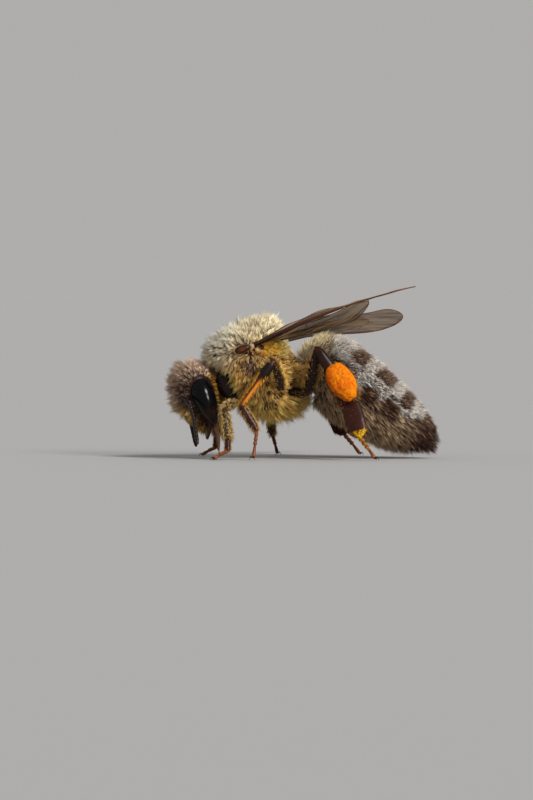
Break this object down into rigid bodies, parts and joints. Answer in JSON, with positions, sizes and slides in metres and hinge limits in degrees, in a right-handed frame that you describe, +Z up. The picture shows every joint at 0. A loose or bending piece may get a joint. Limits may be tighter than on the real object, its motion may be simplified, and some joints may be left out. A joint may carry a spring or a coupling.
{
  "type": "honey bee",
  "caption": "Worker honey bee standing on its feet with raised, half-spread wings and an orange pollen load on each hind leg; a still model for display.",
  "frame": {"origin": "on the floor, under the middle of the bounding box", "axes": "+X towards the tail, +Y towards the bee's right side, +Z up"},
  "size_m": [0.013, 0.0144, 0.0084],
  "materials": {
    "coat": "furry",
    "face_coat": "furry",
    "banded_coat": "furry",
    "shell": "gloss",
    "eye": "gloss",
    "wing": "satin",
    "pollen": "matt"
  },
  "bodies": {
    "root": {"abdomen_1": "banded_coat", "abdomen_2": "banded_coat", "abdomen_3": "banded_coat", "abdomen_4": "banded_coat", "abdomen_5": "banded_coat", "abdomen_6": "banded_coat", "antenna_left_flagellum": "shell", "antenna_left_scape": "shell", "antenna_right_flagellum": "shell", "antenna_right_scape": "shell", "eye_left": "eye", "eye_right": "eye", "forewing_left": "wing", "forewing_right": "wing", "head": "face_coat", "hindwing_left": "wing", "hindwing_right": "wing", "leg_fore_left_basitarsus": "shell", "leg_fore_left_coxa": "shell", "leg_fore_left_femur": "shell", "leg_fore_left_tarsus": "shell", "leg_fore_left_tibia": "shell", "leg_fore_right_basitarsus": "shell", "leg_fore_right_coxa": "shell", "leg_fore_right_femur": "shell", "leg_fore_right_tarsus": "shell", "leg_fore_right_tibia": "shell", "leg_hind_left_basitarsus": "shell", "leg_hind_left_coxa": "shell", "leg_hind_left_femur": "shell", "leg_hind_left_tarsus": "shell", "leg_hind_left_tibia": "shell", "leg_hind_right_basitarsus": "shell", "leg_hind_right_coxa": "shell", "leg_hind_right_femur": "shell", "leg_hind_right_tarsus": "shell", "leg_hind_right_tibia": "shell", "leg_mid_left_basitarsus": "shell", "leg_mid_left_coxa": "shell", "leg_mid_left_femur": "shell", "leg_mid_left_tarsus": "shell", "leg_mid_left_tibia": "shell", "leg_mid_right_basitarsus": "shell", "leg_mid_right_coxa": "shell", "leg_mid_right_femur": "shell", "leg_mid_right_tarsus": "shell", "leg_mid_right_tibia": "shell", "mandible_left": "shell", "mandible_right": "shell", "petiole": "shell", "pollen_load_left": "pollen", "pollen_load_right": "pollen", "proboscis": "shell", "prothorax": "shell", "tegula_left": "shell", "tegula_right": "shell", "thorax": "coat"}
  },
  "joints": []
}
